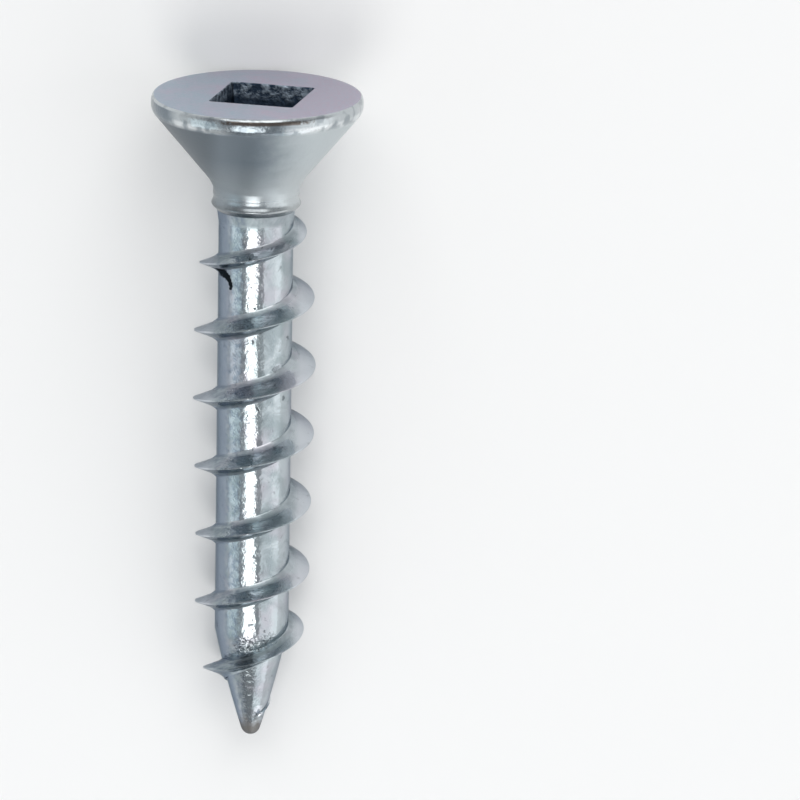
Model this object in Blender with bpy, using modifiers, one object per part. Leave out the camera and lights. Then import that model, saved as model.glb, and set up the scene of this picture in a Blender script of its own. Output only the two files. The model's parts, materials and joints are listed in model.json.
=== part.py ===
"""Particle board screw, one solid piece.

A turned head (flat top, short rim, cone, collar) is joined to a shank that is lofted along a helix: one section
of thread and core, a pitch tall, is drawn for every step of the turn, and its ridge grows out from under the
collar and dies away on the point. A square socket with a conical dimple in its floor is cut into the head.

The screw is drawn about its own axis, head top at zero and depth measured downwards, then laid on its side the
way it comes to rest: head towards +Y, touching the floor with the head rim and with one crest of the thread.
"""

import math

import bmesh
import bpy
from mathutils import Matrix, Vector

MM = 0.001

# Overall
LENGTH = 22.2 * MM
CORE_DIAMETER = 2.48 * MM

# Head
HEAD_DIAMETER = 7.01 * MM
HEAD_CONE_ANGLE = math.radians(79.6)
RIM_HEIGHT = 0.40 * MM
TOP_EDGE_RADIUS = 0.10 * MM
RIM_UNDER_RADIUS = 0.30 * MM
NECK_FILLET_RADIUS = 1.40 * MM

# Collar between the cone and the threaded shank
COLLAR_STEP = 0.26 * MM
COLLAR_LENGTH = 0.32 * MM
COLLAR_EDGE_RADIUS = 0.07 * MM
SHOULDER_STEP = 0.12 * MM
NECK_BLEND_LENGTH = 0.80 * MM

# Thread
THREAD_DIAMETER = 4.08 * MM
THREAD_LOWER_DIAMETER = 3.84 * MM
NARROWING_START_DEPTH = 9.60 * MM
NARROWING_LENGTH = 6.00 * MM
PITCH = 2.36 * MM
FLANK_ANGLE = math.radians(19.0)
CREST_LAND = 0.06 * MM
ROOT_CHAMFER = 0.09 * MM
FIRST_CREST_DEPTH = 5.70 * MM
RUN_IN_LENGTH = 7.00 * MM
RUN_IN_HIDDEN = 0.90 * MM
RUN_IN_POWER = 3.0
RUN_IN_LAG = 0.20 * MM
RUN_IN_LEAST_SHARE = 0.12

# Point and the end of the thread on it
POINT_LENGTH = 3.80 * MM
POINT_TIP_ANGLE = math.radians(35.0)
TIP_RADIUS = 0.33 * MM
THREAD_TAPER_DROP = 0.30 * MM
THREAD_TAPER_LENGTH = 2.20 * MM
THREAD_END_TO_TIP = 1.45 * MM
THREAD_END_LENGTH = 0.60 * MM
TAIL_RIDGE_SHARE = 0.06

# Square socket in the head
SOCKET_MOUTH = 2.80 * MM
SOCKET_FLOOR = 2.36 * MM
SOCKET_DEPTH = 2.00 * MM
SOCKET_LEAD = 0.06 * MM
SOCKET_TURN = math.radians(-15.5)
SOCKET_OFF_CENTRE = 0.15 * MM
DIMPLE_SHARE_OF_FLOOR = 0.86
DIMPLE_ANGLE = math.radians(128.0)

# Fineness of the facets
STEPS = 48
ARC_STEPS = 3
FILLET_STEPS = 6
DOME_STEPS = 4
CORE_ROWS = 2
MERGE = 0.004 * MM
SCREW_MERGE = 0.0001 * MM
OVERLAP = 0.50 * MM
SMOOTH_ANGLE = math.radians(32.0)
BISECTION_STEPS = 60

ZINC_COLOUR = (0.56, 0.60, 0.63, 1.0)
ZINC_ROUGHNESS = 0.30

CORE_RADIUS = CORE_DIAMETER / 2
HEAD_RADIUS = HEAD_DIAMETER / 2
COLLAR_RADIUS = CORE_RADIUS + COLLAR_STEP
SHOULDER_RADIUS = CORE_RADIUS + SHOULDER_STEP
POINT_START = LENGTH - POINT_LENGTH
DOME_START = LENGTH - TIP_RADIUS * (1 - math.sin(POINT_TIP_ANGLE / 2))
DOME_START_RADIUS = TIP_RADIUS * math.cos(POINT_TIP_ANGLE / 2)


def arc(centre, radius, start, end, steps):
    """Points (radius, depth) on an arc, angles measured from straight out towards deeper."""
    points = []
    for step in range(steps + 1):
        angle = start + (end - start) * step / steps
        points.append((centre[0] + radius * math.cos(angle), centre[1] + radius * math.sin(angle)))
    return points


def ease(share):
    """A smooth step from 0 to 1."""
    share = min(max(share, 0.0), 1.0)
    return share * share * (3 - 2 * share)


def head_profile():
    """Half section of the head, from the centre of its top down to the core inside the shank.

    Returns the points (radius, depth) and the depth at which the collar ends.
    """
    half_cone = HEAD_CONE_ANGLE / 2
    points = [(0.0, 0.0)]
    points += arc((HEAD_RADIUS - TOP_EDGE_RADIUS, TOP_EDGE_RADIUS), TOP_EDGE_RADIUS, -math.pi / 2, 0, ARC_STEPS)
    rim_centre = (HEAD_RADIUS - RIM_UNDER_RADIUS, RIM_HEIGHT)
    points += arc(rim_centre, RIM_UNDER_RADIUS, 0, math.pi / 2 - half_cone, ARC_STEPS)
    # The cone leaves the rim's rounding at a tangent, and a concave fillet carries it into the collar.
    cone_radius, cone_depth = points[-1]
    fillet_radius = COLLAR_RADIUS + NECK_FILLET_RADIUS
    fillet_end_radius = fillet_radius - NECK_FILLET_RADIUS * math.cos(half_cone)
    fillet_start_depth = cone_depth + (cone_radius - fillet_end_radius) / math.tan(half_cone)
    fillet_depth = fillet_start_depth + NECK_FILLET_RADIUS * math.sin(half_cone)
    points += arc(
        (fillet_radius, fillet_depth), NECK_FILLET_RADIUS, math.pi + half_cone, math.pi, FILLET_STEPS
    )
    collar_end = fillet_depth + COLLAR_LENGTH
    edge_centre = (COLLAR_RADIUS - COLLAR_EDGE_RADIUS, collar_end - COLLAR_EDGE_RADIUS)
    points += arc(edge_centre, COLLAR_EDGE_RADIUS, 0, math.pi / 4, ARC_STEPS)
    shoulder_depth = points[-1][1] + points[-1][0] - SHOULDER_RADIUS
    inside = SHOULDER_RADIUS - SHOULDER_STEP
    points.append((inside, shoulder_depth + SHOULDER_STEP))
    points.append((0.0, shoulder_depth + SHOULDER_STEP))
    return points, shoulder_depth


HEAD_POINTS, SHOULDER_DEPTH = head_profile()


def core_radius(depth):
    """Radius of the shank without its thread: neck blend, cylinder, then the slightly bowed point."""
    if depth < POINT_START:
        blend = 1 - min(max((depth - SHOULDER_DEPTH) / NECK_BLEND_LENGTH, 0.0), 1.0)
        return CORE_RADIUS + SHOULDER_STEP * blend * blend
    # A quadratic curve that ends on the tip's rounding with the point's own angle.
    share = min((depth - POINT_START) / (DOME_START - POINT_START), 1.0)
    bow_radius = DOME_START_RADIUS + (DOME_START - POINT_START) / 2 * math.tan(POINT_TIP_ANGLE / 2)
    return (
        (1 - share) ** 2 * CORE_RADIUS + 2 * share * (1 - share) * bow_radius + share**2 * DOME_START_RADIUS
    )


def run_in_share(depth):
    """How far the thread has risen out from under the collar at this depth, from 0 to 1."""
    risen = (depth - SHOULDER_DEPTH + RUN_IN_HIDDEN) / RUN_IN_LENGTH
    return max(1 - (1 - min(max(risen, 0.0), 1.0)) ** RUN_IN_POWER, RUN_IN_LEAST_SHARE)


def thread_share(depth):
    """How much of its full height the thread has where its crest lies at this depth."""
    end = LENGTH - THREAD_END_TO_TIP
    fade = 1 - (1 - TAIL_RIDGE_SHARE) * ease((depth - end + THREAD_END_LENGTH) / THREAD_END_LENGTH)
    return run_in_share(depth) * fade


def thread_height(depth):
    """Height of the thread's crest above the core at this depth."""
    narrowing = ease((depth - NARROWING_START_DEPTH) / NARROWING_LENGTH)
    taper = ease((depth - POINT_START + THREAD_TAPER_LENGTH / 2) / THREAD_TAPER_LENGTH)
    crest = THREAD_DIAMETER / 2 - (THREAD_DIAMETER - THREAD_LOWER_DIAMETER) / 2 * narrowing
    crest -= THREAD_TAPER_DROP * taper
    return (crest - core_radius(depth)) * thread_share(depth)


def ridge(turn):
    """The thread's own section at this turn: points (depth, height above the core), shallow foot first."""
    middle = FIRST_CREST_DEPTH + PITCH * turn
    # Where it is still rising, the thread trails its even spiral by a little.
    middle += RUN_IN_LAG * (1 - run_in_share(middle))
    height = thread_height(middle)
    chamfer = ROOT_CHAMFER * thread_share(middle)
    land = CREST_LAND / 2
    base = land + height * math.tan(FLANK_ANGLE)
    half = [
        (base + chamfer, 0.0),
        (base - chamfer * math.sin(FLANK_ANGLE), chamfer * math.cos(FLANK_ANGLE)),
        (land, height),
    ]
    upper = [(middle - offset, up) for offset, up in half]
    lower = [(middle + offset, up) for offset, up in reversed(half)]
    return upper + lower


def section(turn):
    """One pitch of the shank at this turn, from one ridge's shallow foot down to just above the next one's."""
    points = ridge(turn)
    foot = points[-1][0]
    next_foot = ridge(turn + 1)[0][0]
    for row in range(1, CORE_ROWS + 1):
        points.append((foot + (next_foot - foot) * row / (CORE_ROWS + 1), 0.0))
    return points


def new_object(name, mesh, collection):
    made = bpy.data.objects.new(name, mesh)
    collection.objects.link(made)
    return made


def shank_mesh(top):
    """The threaded shank as a loft along the helix, flat at its top inside the head and domed at its tip."""
    # The rows run past both ends by the section's own length and by what the thread trails.
    spare = math.ceil((PITCH + RUN_IN_LAG + ridge(0)[-1][0] - ridge(0)[0][0]) / PITCH * STEPS)
    first = math.floor((top - FIRST_CREST_DEPTH) / PITCH * STEPS) - spare
    last = math.ceil((DOME_START - FIRST_CREST_DEPTH) / PITCH * STEPS) + spare
    build = bmesh.new()
    rows = []
    for step in range(first, last + 1):
        angle = math.pi - 2 * math.pi * (step % STEPS) / STEPS
        row = []
        for depth, up in section(step / STEPS):
            # Whatever lies past either end is drawn onto that end's ring, and merges there.
            depth = min(max(depth, top), DOME_START)
            radius = core_radius(depth) + (up if top < depth < DOME_START else 0.0)
            row.append(build.verts.new((radius * math.cos(angle), radius * math.sin(angle), -depth)))
        rows.append(row)
    for index in range(len(rows) - 1):
        here = rows[index] + ([rows[index + STEPS][0]] if index + STEPS < len(rows) else [])
        there = rows[index + 1] + ([rows[index + 1 + STEPS][0]] if index + 1 + STEPS < len(rows) else [])
        for column in range(min(len(here), len(there)) - 1):
            build.faces.new((here[column], here[column + 1], there[column + 1], there[column]))
    bmesh.ops.remove_doubles(build, verts=build.verts, dist=MERGE)

    def end_edges(depth):
        return [
            edge
            for edge in build.edges
            if edge.is_boundary and all(abs(corner.co.z + depth) < MERGE for corner in edge.verts)
        ]

    # The dome: the ring at the point's end is drawn down along an arc, ring by ring, to the tip.
    ring = end_edges(DOME_START)
    dome = arc((0.0, LENGTH - TIP_RADIUS), TIP_RADIUS, POINT_TIP_ANGLE / 2, math.pi / 2, DOME_STEPS)
    for radius, depth in dome[1:]:
        made = bmesh.ops.extrude_edge_only(build, edges=ring)["geom"]
        for corner in (item for item in made if isinstance(item, bmesh.types.BMVert)):
            flat = Vector((corner.co.x, corner.co.y)).normalized() * radius
            corner.co = (flat.x, flat.y, -depth)
        ring = [item for item in made if isinstance(item, bmesh.types.BMEdge)]
    bmesh.ops.contextual_create(build, geom=end_edges(top))
    bmesh.ops.remove_doubles(build, verts=build.verts, dist=MERGE)
    bmesh.ops.recalc_face_normals(build, faces=build.faces)
    mesh = bpy.data.meshes.new("shank")
    build.to_mesh(mesh)
    build.free()
    return mesh


def turned(name, profile, collection):
    """A solid of revolution about Z, its facets set half a step round so that a flat faces the floor."""
    half_step = math.pi / STEPS
    corners = [(r * math.cos(half_step), r * math.sin(half_step), -depth) for r, depth in profile]
    mesh = bpy.data.meshes.new(name)
    mesh.from_pydata(corners, [(i, i + 1) for i in range(len(corners) - 1)], [])
    made = new_object(name, mesh, collection)
    screw = made.modifiers.new("turn", "SCREW")
    screw.axis = "Z"
    screw.angle = 2 * math.pi
    screw.steps = STEPS
    screw.render_steps = STEPS
    screw.use_merge_vertices = True
    screw.merge_threshold = SCREW_MERGE
    return made


def square_cutter(name, across_top, across_bottom, top, bottom, collection):
    """A four-sided frustum between two heights, set at the socket's place and turn."""
    build = bmesh.new()
    bmesh.ops.create_cone(
        build,
        cap_ends=True,
        segments=4,
        radius1=across_bottom / math.sqrt(2),
        radius2=across_top / math.sqrt(2),
        depth=top - bottom,
        matrix=Matrix.Rotation(math.pi / 4, 4, "Z"),
    )
    mesh = bpy.data.meshes.new(name)
    build.to_mesh(mesh)
    build.free()
    made = new_object(name, mesh, collection)
    made.location = (SOCKET_OFF_CENTRE, 0, (top + bottom) / 2)
    made.rotation_euler = (0, 0, SOCKET_TURN)
    return made


def socket_cutters(collection):
    """The tapered square, the small bevel round its mouth, and the conical dimple in its floor."""
    draft = (SOCKET_MOUTH - SOCKET_FLOOR) / SOCKET_DEPTH
    square = square_cutter(
        "socket", SOCKET_MOUTH + draft * OVERLAP, SOCKET_FLOOR, OVERLAP, -SOCKET_DEPTH, collection
    )
    widest = SOCKET_MOUTH + 2 * (SOCKET_LEAD + OVERLAP)
    lead = square_cutter("socket_lead", widest, SOCKET_MOUTH, OVERLAP, -SOCKET_LEAD, collection)
    radius = SOCKET_FLOOR * DIMPLE_SHARE_OF_FLOOR / 2
    slope = math.tan(DIMPLE_ANGLE / 2)
    above = OVERLAP / 2
    build = bmesh.new()
    bmesh.ops.create_cone(
        build,
        cap_ends=True,
        segments=STEPS,
        radius1=0.0,
        radius2=radius + above * slope,
        depth=radius / slope + above,
    )
    bmesh.ops.remove_doubles(build, verts=build.verts, dist=SCREW_MERGE)
    mesh = bpy.data.meshes.new("dimple")
    build.to_mesh(mesh)
    build.free()
    dimple = new_object("dimple", mesh, collection)
    dimple.location = (SOCKET_OFF_CENTRE, 0, -SOCKET_DEPTH + (above - radius / slope) / 2)
    return [square, lead, dimple]


def zinc():
    """Zinc-plated steel."""
    material = bpy.data.materials.new("zinc_plated_steel")
    material.use_nodes = True
    shader = material.node_tree.nodes["Principled BSDF"]
    shader.inputs["Base Color"].default_value = ZINC_COLOUR
    shader.inputs["Metallic"].default_value = 1.0
    shader.inputs["Roughness"].default_value = ZINC_ROUGHNESS
    return material


def rest_tilt(points):
    """The lean at which the head and the thread touch the floor together, from points (out, depth)."""
    head = [point for point in points if point[1] < SHOULDER_DEPTH]
    shank = [point for point in points if point[1] >= SHOULDER_DEPTH]

    def lowest(part, tilt):
        return max(out * math.cos(tilt) + depth * math.sin(tilt) for out, depth in part)

    low, high = 0.0, math.pi / 4
    for _ in range(BISECTION_STEPS):
        tilt = (low + high) / 2
        if lowest(head, tilt) > lowest(shank, tilt):
            low = tilt
        else:
            high = tilt
    return tilt


def lay_down(screw):
    """Turn the screw onto its side and set it on the floor, its box centred on the origin."""
    bpy.context.view_layer.update()
    shape = screw.evaluated_get(bpy.context.evaluated_depsgraph_get()).to_mesh()
    corners = [corner.co.copy() for corner in shape.vertices]
    tilt = rest_tilt([(corner.y, -corner.z) for corner in corners])
    turn = Matrix.Rotation(tilt - math.pi / 2, 4, "X")
    placed = [turn @ corner for corner in corners]
    low = [min(point[axis] for point in placed) for axis in range(3)]
    high = [max(point[axis] for point in placed) for axis in range(3)]
    screw.rotation_euler = turn.to_euler()
    screw.location = (-(low[0] + high[0]) / 2, -(low[1] + high[1]) / 2, -low[2])
    bpy.context.view_layer.update()


def main():
    for old in list(bpy.data.objects):
        bpy.data.objects.remove(old, do_unlink=True)
    parts = bpy.data.collections.new("particle_board_screw")
    tools = bpy.data.collections.new("tools")
    for collection in (parts, tools):
        bpy.context.scene.collection.children.link(collection)

    screw = turned("screw", HEAD_POINTS, parts)
    shank = new_object("shank", shank_mesh(SHOULDER_DEPTH - OVERLAP - COLLAR_LENGTH), tools)
    cutters = socket_cutters(tools)
    for helper, operation in [(shank, "UNION")] + [(cutter, "DIFFERENCE") for cutter in cutters]:
        helper.parent = screw
        helper.display_type = "WIRE"
        helper.hide_render = True
        step = screw.modifiers.new(helper.name, "BOOLEAN")
        step.object = helper
        step.operation = operation
        step.solver = "EXACT"

    material = zinc()
    for each in (screw, shank, *cutters):
        each.data.materials.append(material)
        each.data.shade_smooth()
        each.data.set_sharp_from_angle(angle=SMOOTH_ANGLE)
    lay_down(screw)


main()
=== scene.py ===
"""Particle board screw on a pale studio floor.

The screw is modelled upright about its own axis, head top at zero and point downwards, and then laid on its
side where the CAD model lies. Sizes are metres. Operators model the head, the shank and the socket's punch,
join them, finish the surface and set the stage.
"""

import json
import math
from functools import partial

import bmesh
import bpy
from bpy.props import FloatProperty, FloatVectorProperty, IntProperty, PointerProperty
from bpy.types import Operator, Panel, PropertyGroup
from mathutils import Matrix, Vector


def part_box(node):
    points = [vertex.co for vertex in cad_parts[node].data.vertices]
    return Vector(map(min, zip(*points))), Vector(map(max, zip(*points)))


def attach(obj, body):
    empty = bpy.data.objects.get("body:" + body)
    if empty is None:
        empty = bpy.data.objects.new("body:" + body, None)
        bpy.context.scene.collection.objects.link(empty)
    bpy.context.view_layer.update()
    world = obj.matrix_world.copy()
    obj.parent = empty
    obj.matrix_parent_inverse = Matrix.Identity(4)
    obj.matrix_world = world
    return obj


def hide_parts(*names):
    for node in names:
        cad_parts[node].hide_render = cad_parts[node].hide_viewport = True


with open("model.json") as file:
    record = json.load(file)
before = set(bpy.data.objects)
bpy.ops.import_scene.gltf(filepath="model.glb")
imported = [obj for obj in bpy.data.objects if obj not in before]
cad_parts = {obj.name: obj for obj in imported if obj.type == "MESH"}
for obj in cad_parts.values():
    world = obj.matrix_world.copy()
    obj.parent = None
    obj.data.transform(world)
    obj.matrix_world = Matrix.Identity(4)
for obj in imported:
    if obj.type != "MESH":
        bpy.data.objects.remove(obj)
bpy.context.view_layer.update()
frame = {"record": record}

bl_info = {
    "name": "Particle board screw",
    "version": (1, 0, 0),
    "blender": (4, 5, 0),
    "location": "View3D > Sidebar > Screw",
    "description": "Models a countersunk particle board screw with a square socket, and its studio",
    "category": "Add Mesh",
}

MM = 0.001
SCREW_NODE = "screw"
HEAD_FACE = next(mount for mount in frame["record"]["mounts"] if mount["name"] == "head_face")
# The lean of the screw as it rests, read from the direction that the head's face looks in.
REST_TILT = math.atan2(HEAD_FACE["axis"][2], HEAD_FACE["axis"][1])
# The CAD head has this many facets, and lies on one of them.
CAD_FACETS = 48

# The rim was peened over by the header: it leans in towards the top and swells to a soft crest below. Each
# point is how far in from the full radius and how deep it lies, in millimetres, for a crest 0.32 mm deep.
RIM_SECTION = (
    (0.115, 0), (0.086, 0.008), (0.060, 0.03), (0.030, 0.07), (0.011, 0.13),
    (0.002, 0.21), (0, 0.29), (0, 0.33), (0.0035, 0.37), (0.0095, 0.41),
    (0.021, 0.455), (0.036, 0.49), (0.055, 0.53), (0.082, 0.575), (0.120, 0.62),
)
RIM_SECTION_CREST = 0.32
# How far down the straight rim the crest lies.
RIM_CREST_SHARE = 0.8
# The collar's lip: how far in as a share of the lip, and how high over the collar's foot in millimetres.
LIP_SECTION = ((0.35, 0.140), (0.08, 0.100), (0, 0.070), (0.12, 0.035), (0.4, 0.010))

# The thread's sweep starts a turn before its first full crest, inside the collar, and rises over part of it.
FIRST_TURN = -1
START_TURNS = 0.3
# The least share of its full height that the thread has where it runs in, and the least height of all.
LEAST_RUN_IN = 0.05
LEAST_HEIGHT = MM / 200
# The last lobe on the right: where it lies and how far round it reaches, in turns.
LAST_LOBE_TURN = 5.5
LAST_LOBE_REACH = 0.22
# Rows of faces down the straight part of the core, and as many down its point.
CORE_ROWS = 24

# Points closer together than this are merged: in a turned section, and after the pieces are joined.
SECTION_MERGE = MM / 10000
JOIN_MERGE = MM / 2000
# An edge this close to the head's top lies on it, and a face whose centre is this deep is still part of it.
ON_FACE = MM / 1000
FACE_DEPTH = MM / 200
# The rim's finish reaches in to this share of the head's radius.
RIM_REACH = 0.93
# The socket's finish reaches down to this share of its depth, past the dimple's point.
SOCKET_REACH = 1.5
SMOOTH_ANGLE = math.radians(30)

# Places on the upright screw where a material changes: centre, radius and depth of the ragged edge, in mm.
# Where a painted highlight lies on the small burr.
BURR_HIGHLIGHT_PLACE = [((0.30, -0.56, -21.20), 0.20, 0.1)]
BRUISE_PLACE = [((-0.22, -1.47, -19.02), 0.42, 0.30)]
STREAK_PLACE = [((0.25, -3.45, -0.1), 1.6, 0.9)]
SPOT_PLACES = [((1.10, -0.58, -8.15), 0.09, 0.14), ((0.98, -0.76, -10.20), 0.09, 0.14)]
TORN_PLACES = [
    ((-0.34, -1.18, -18.72), 0.26, 0.45),
    ((-0.08, -1.23, -18.66), 0.27, 0.45),
    ((0.20, -1.22, -18.60), 0.25, 0.45),
    ((0.46, -1.14, -18.52), 0.22, 0.45),
]
MARK_PLACES = [
    ((-1.16, -0.44, -5.86), 0.25, 0.14),
    ((-1.03, -0.69, -5.93), 0.20, 0.12),
    ((-0.93, -0.82, -6.02), 0.15, 0.08),
    ((-0.87, -0.88, -6.11), 0.12, 0.05),
    ((-0.83, -0.92, -6.20), 0.10, 0.04),
    ((-0.81, -0.94, -6.29), 0.085, 0.03),
    ((-0.82, -0.93, -6.38), 0.07, 0.03),
]

# The shader nodes that come up most.
MATH = "ShaderNodeMath"
VECTOR_MATH = "ShaderNodeVectorMath"
NOISE = "ShaderNodeTexNoise"
RAMP = "ShaderNodeMapRange"

# Each lamp: how far round from straight over the screw and how far towards its tip, in degrees, then its
# distance and size in metres, the stage setting that holds its radiance, and its colour.
LAMPS = (
    ("key_panel", -9.3, 24.5, 0.60, (0.32, 0.34), "key", (1.0, 0.98, 0.955)),
    ("head_panel", 0.0, -50.0, 0.60, (0.60, 0.50), "head", (1.0, 0.98, 0.955)),
    ("left_panel", -62.0, 16.0, 0.45, (0.275, 0.30), "left", (0.775, 0.945, 1.0)),
    ("right_panel", 60.0, 16.0, 0.48, (0.60, 0.44), "right", (1.0, 1.0, 1.0)),
    ("tip_panel", 52.0, 57.0, 0.45, (0.32, 0.26), "tip", (0.97, 0.99, 1.0)),
)


def number(name, description, value, **more):
    """A property that holds a number."""
    return FloatProperty(name=name, description=description, default=value, **more)


def mm(name, description, value, **more):
    """A length property whose default is given in millimetres."""
    return number(name, description, value * MM, unit="LENGTH", precision=5, **more)


def angle(name, description, degrees):
    """An angle property whose default is given in degrees."""
    return number(name, description, math.radians(degrees), unit="ROTATION")


def linear(code):
    """A colour written as sRGB hex, such as "8fa0ab", as linear red, green and blue."""
    channels = (int(code[i : i + 2], 16) / 255 for i in (0, 2, 4))
    return tuple(c / 12.92 if c <= 0.04045 else ((c + 0.055) / 1.055) ** 2.4 for c in channels)


def colour(name, description, code):
    """A colour property whose default is an sRGB hex code."""
    return FloatVectorProperty(
        name=name, description=description, default=linear(code), subtype="COLOR", size=3, min=0.0, max=1.0
    )


class HeadSizes(PropertyGroup):
    """Sizes of the turned head and its collar."""

    diameter: mm("Diameter", "Across the flat top of the head", 7.01)
    cone_angle: angle("Cone angle", "Full angle of the cone under the head", 79.6)
    rim_height: mm("Rim height", "Straight rim under the flat top", 0.40)
    top_edge: mm("Top edge radius", "Rounding of the top edge", 0.10)
    rim_under: mm("Rim under radius", "Rounding from the rim into the cone", 0.30)
    neck_fillet: mm("Neck fillet", "Hollow rounding from the cone into the collar", 1.40)
    collar_step: mm("Collar step", "How far the collar stands above the shank", 0.26)
    collar_length: mm("Collar length", "Straight collar under the cone", 0.32)
    lip: mm("Lip", "How far the collar's lip stands out from the waist above it", 0.07)
    lip_inset: mm("Lip inset", "How far the lip stays inside the collar's full radius", 0.015)
    shoulder_step: mm("Shoulder step", "Swelling of the shank where it meets the collar", 0.08)
    blend_length: mm("Neck blend length", "Length over which that swelling fades", 0.50)
    segments: IntProperty(name="Segments", description="Faces around the head", default=144, min=24, max=256)


class ShankSizes(PropertyGroup):
    """Sizes of the core, the thread and the point."""

    length: mm("Length", "Overall length of the screw", 22.2)
    core: mm("Core diameter", "Shank without its thread", 2.48)
    thread: mm("Thread diameter", "Across the thread's crests", 4.08)
    lower_thread: mm("Lower thread diameter", "Across the crests near the point", 3.84)
    narrowing_start: mm("Narrowing start", "Depth at which the thread starts to narrow", 9.60)
    narrowing_length: mm("Narrowing length", "Length over which it narrows", 6.00)
    pitch: mm("Pitch", "Distance between neighbouring crests", 2.36)
    flank: angle("Flank angle", "Half angle of the thread's section", 19.0)
    first_crest: mm("First crest", "Depth of the first full crest on the left side", 5.70)
    run_in: mm("Run-in length", "Length over which the thread rises", 7.00)
    run_in_hidden: mm("Hidden run-in", "Part of it that lies inside the collar", 0.90)
    run_in_power: number("Run-in power", "How early the thread rises", 3.0)
    run_in_lag: mm("Run-in lag", "How far the rising thread trails its even spiral", 0.20)
    point: mm("Point length", "Length of the tapered point", 3.80)
    point_angle: angle("Point angle", "Full angle of the point at its tip", 35.0)
    tip: mm("Tip radius", "Rounding of the tip", 0.33)
    taper_drop: mm("Thread taper", "How much lower the crests are on the point", 0.30)
    taper_length: mm("Thread taper length", "Length over which they fall", 2.20)
    end_to_tip: mm("Thread end to tip", "Distance from the thread's end to the tip", 1.45)
    end_length: mm("Thread end length", "Length over which the thread dies away", 0.60)
    tail_share: number("Tail share", "Height of the ridge left on the point", 0.06)
    last_lobe: mm("Last lobe", "How much higher the thread stands on the right in its last turn", 0.20)
    burr: mm("Burr thickness", "Thickness of the small burr that the dies pinch near the tip", 0.15)
    burr_length: mm("Burr length", "Length of that burr", 0.58)
    burr_turn: number("Burr turn", "Where the burr lies, in turns", 6.68)
    steps: IntProperty(
        name="Steps", description="Sections of the thread in one turn", default=96, min=24, max=192
    )


class SocketSizes(PropertyGroup):
    """Sizes of the square socket."""

    mouth: mm("Mouth", "Across the socket's flats at the head's face", 2.80)
    floor: mm("Floor", "Across the flats at the floor", 2.36)
    depth: mm("Depth", "Depth of the flat floor", 2.00)
    corner: mm("Corner radius", "Rounding of the four corners", 0.09)
    edge: mm("Mouth bevel", "Worn edge round the mouth", 0.05)
    turn: angle("Turn", "Turn of the square about the screw's axis", -15.5)
    off_centre: mm("Off centre", "How far the punch struck off the axis", 0.15)
    dimple_share: number("Dimple share", "Dimple's width as a share of the floor", 0.86)
    dimple_angle: angle("Dimple angle", "Full angle of the conical dimple", 128.0)


class ZincColours(PropertyGroup):
    """Colours of the zinc plating, and of the painted light and shade laid over it."""

    shank_light: colour("Shank light", "Bright plating on the rolled shank", "b9c2c6")
    shank_dark: colour("Shank dark", "Duller patches on the rolled shank", "9ba6aa")
    shank_lilac: colour("Shank lilac", "Faint lilac tint of the plating's film", "bab8c0")
    # Painted shade down the shank's left side.
    painted_shade: colour("Painted shade", "Duller, bluer film down the shank's left side", "8893a1")
    edge: colour("Edge", "Darker tone of the shank's plating seen at a glance", "b8bec4")
    speck_and_shade: colour("Speck", "Specks where the plating is thin", "3c444a")
    # Dark spots: real marks, painted shade in the pits and a painted dark reflection on the point.
    mark: colour("Mark", "Dark mark under the first crest", "1c2024")
    tip: colour("Tip", "Bare brownish steel at the tip", "78736f")
    # Painted light: the cone's lighter right side.
    cone: colour("Cone", "Satin plating on the cone", "c0c8cb")
    cone_dull: colour("Cone dull", "Duller plating on the cone", "78828a")
    # Painted shade on the cone's left side.
    cone_painted_shade: colour("Cone dark", "Dullest plating, on the cone's left side", "656e75")
    # Painted light on the neck and the collar.
    neck: colour("Neck", "Brighter plating on the neck and the collar", "c4cacc")
    face: colour("Face", "Matt plating on the head's face", "b5b8c6")
    face_warm: colour("Face tint", "Violet tint on the head's face", "b9adbd")
    face_cool: colour("Face cool", "Green-grey tint on the head's face", "a2b4c0")
    # Painted shade: the socket is painted dark for the shade in its recess.
    socket: colour("Socket", "Dark plating inside the socket", "2d3a4a")
    # Torn plating near the socket's mouth, with painted light there.
    socket_torn_and_lit: colour("Socket torn", "Lighter torn plating near the socket's mouth", "a9b6c3")
    # Painted light on the thread's outer parts at the sides, on the right side and on the burr.
    painted_sheen: colour("Painted sheen", "Brighter plating on the thread's outer parts at the sides", "d5d9df")
    rim: colour("Rim", "Burnished plating on the rim", "8f989e")
    # Painted light on the rim's sides and its top edge.
    rim_painted_light: colour("Rim sides", "Brighter plating on the rim's sides", "bcc2c5")
    # Painted highlight on the rim's lower edge.
    rim_edge_highlight: colour("Rim edge", "Brightest plating, on the rim's lower edge", "d8dcde")
    rim_streak: colour("Rim streak", "Brown streak under the head's edge", "716a65")
    # A darker ring in the corner under the collar's lip.
    dark_ring: colour("Dark ring", "Grime in the corner under the collar", "5d5a57")


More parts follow.
